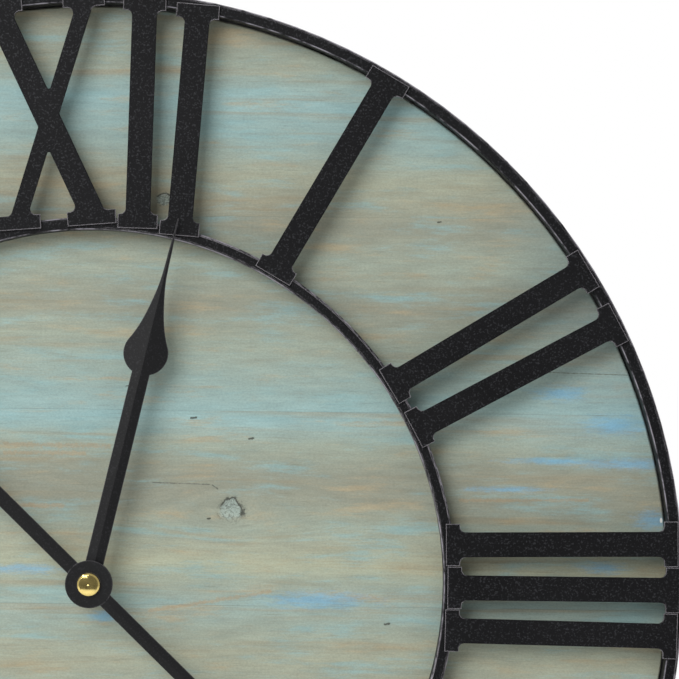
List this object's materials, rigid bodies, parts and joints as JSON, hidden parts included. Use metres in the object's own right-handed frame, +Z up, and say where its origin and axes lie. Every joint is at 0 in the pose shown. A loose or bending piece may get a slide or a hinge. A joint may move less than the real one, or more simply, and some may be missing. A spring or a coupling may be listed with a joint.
{
  "type": "wall clock",
  "caption": "Round open wall clock: black steel rings and Roman numerals before a washed pine board, with pressed spade hands, a quartz movement behind and a keyhole hanger.",
  "frame": {"origin": "on the hands' axis, at the middle of the clock's whole depth", "axes": "+Z up through XII, +X towards III, +Y from the dial to the wall"},
  "size_m": [0.6095, 0.0578, 0.6096],
  "materials": {
    "board_pine": "washed stain over horizontal pine grain, matt varnish",
    "batten_pine": "planed, unfinished",
    "zinc_steel": "bright zinc plate",
    "rubber": "matt",
    "black_steel": "fine-textured black powder coat, satin",
    "black_hand": "fine-textured black powder coat, satin",
    "case_plastic": "moulded",
    "knob_plastic": "moulded",
    "gear_plastic": "moulded acetal",
    "brass": "turned and polished",
    "magnet": "sintered",
    "bare_steel": "stamped",
    "copper_wire": "enamelled copper wire",
    "circuit_laminate": "glass-fibre laminate with green mask",
    "chip_resin": "potting resin",
    "crystal_can": "drawn can",
    "contact_brass": "nickel-plated spring strip",
    "battery_jacket": "plain printed jacket with a bare can at the ends"
  },
  "bodies": {
    "clock": {"dial_board": "board_pine", "batten_left": "batten_pine", "batten_right": "batten_pine", "batten_screws": "zinc_steel", "hanger_bar": "zinc_steel", "hanger_screws": "zinc_steel", "wall_pads": "rubber", "outer_ring": "black_steel", "inner_ring": "black_steel", "outer_ring_tabs": "black_steel", "tab_screws": "zinc_steel", "inner_ring_lugs": "black_steel", "ring_screws": "zinc_steel", "ring_washers": "zinc_steel", "movement_front_case": "case_plastic", "movement_rear_cover": "case_plastic", "threaded_stem": "brass", "rubber_washer": "rubber", "brass_washer": "brass", "stem_nut": "brass", "stator": "bare_steel", "coil_core": "bare_steel", "coil_bobbin": "case_plastic", "coil_winding": "copper_wire", "circuit_board": "circuit_laminate", "circuit_chip": "chip_resin", "quartz_crystal": "crystal_can", "positive_contact": "contact_brass", "negative_contact": "contact_brass", "numeral_1": "black_steel", "numeral_2": "black_steel", "numeral_3": "black_steel", "numeral_4": "black_steel", "numeral_5": "black_steel", "numeral_6": "black_steel", "numeral_7": "black_steel", "numeral_8": "black_steel", "numeral_9": "black_steel", "numeral_10": "black_steel", "numeral_11": "black_steel", "numeral_12": "black_steel"},
    "hour_hand": {"hour_hand": "black_hand", "hour_wheel": "gear_plastic", "hour_collet": "brass"},
    "minute_hand": {"minute_hand": "black_hand", "centre_wheel": "brass", "cap_nut": "brass"},
    "minute_wheel": {"minute_wheel": "gear_plastic", "setting_knob": "knob_plastic"},
    "third_wheel": {"third_wheel": "gear_plastic"},
    "seconds_wheel": {"seconds_wheel": "gear_plastic"},
    "step_wheel": {"step_wheel": "gear_plastic"},
    "rotor": {"rotor": "gear_plastic", "rotor_magnet": "magnet"},
    "battery": {"battery": "battery_jacket"}
  },
  "joints": [
    {"name": "minute_hand_turn", "type": "hinge", "parent": "clock", "child": "minute_hand", "pos_m": [0, 0, 0], "axis": [0, 1, 0], "continuous": true},
    {"name": "hour_hand_turn", "type": "hinge", "parent": "clock", "child": "hour_hand", "pos_m": [0, 0, 0], "axis": [0, 1, 0], "continuous": true},
    {"name": "minute_wheel_turn", "type": "hinge", "parent": "clock", "child": "minute_wheel", "pos_m": [0.011, 0, 0], "axis": [0, 1, 0], "continuous": true},
    {"name": "third_wheel_turn", "type": "hinge", "parent": "clock", "child": "third_wheel", "pos_m": [-0.00883, 0, 0.0051], "axis": [0, 1, 0], "continuous": true},
    {"name": "seconds_wheel_turn", "type": "hinge", "parent": "clock", "child": "seconds_wheel", "pos_m": [-0.00433, 0, 0.01289], "axis": [0, 1, 0], "continuous": true},
    {"name": "step_wheel_turn", "type": "hinge", "parent": "clock", "child": "step_wheel", "pos_m": [0.00453, 0, 0.01446], "axis": [0, 1, 0], "continuous": true},
    {"name": "rotor_turn", "type": "hinge", "parent": "clock", "child": "rotor", "pos_m": [0.01083, 0, 0.01446], "axis": [0, 1, 0], "continuous": true},
    {"name": "battery_slide", "type": "slide", "parent": "clock", "child": "battery", "axis": [0, 1, 0], "range_m": [0, 0.03]}
  ],
  "couplings": [
    {"joint": "hour_hand_turn", "follows": "minute_hand_turn", "ratio": 0.083333},
    {"joint": "minute_wheel_turn", "follows": "minute_hand_turn", "ratio": -0.33333},
    {"joint": "third_wheel_turn", "follows": "minute_hand_turn", "ratio": -7.5},
    {"joint": "seconds_wheel_turn", "follows": "minute_hand_turn", "ratio": 60},
    {"joint": "step_wheel_turn", "follows": "minute_hand_turn", "ratio": -300},
    {"joint": "rotor_turn", "follows": "minute_hand_turn", "ratio": 1800}
  ]
}
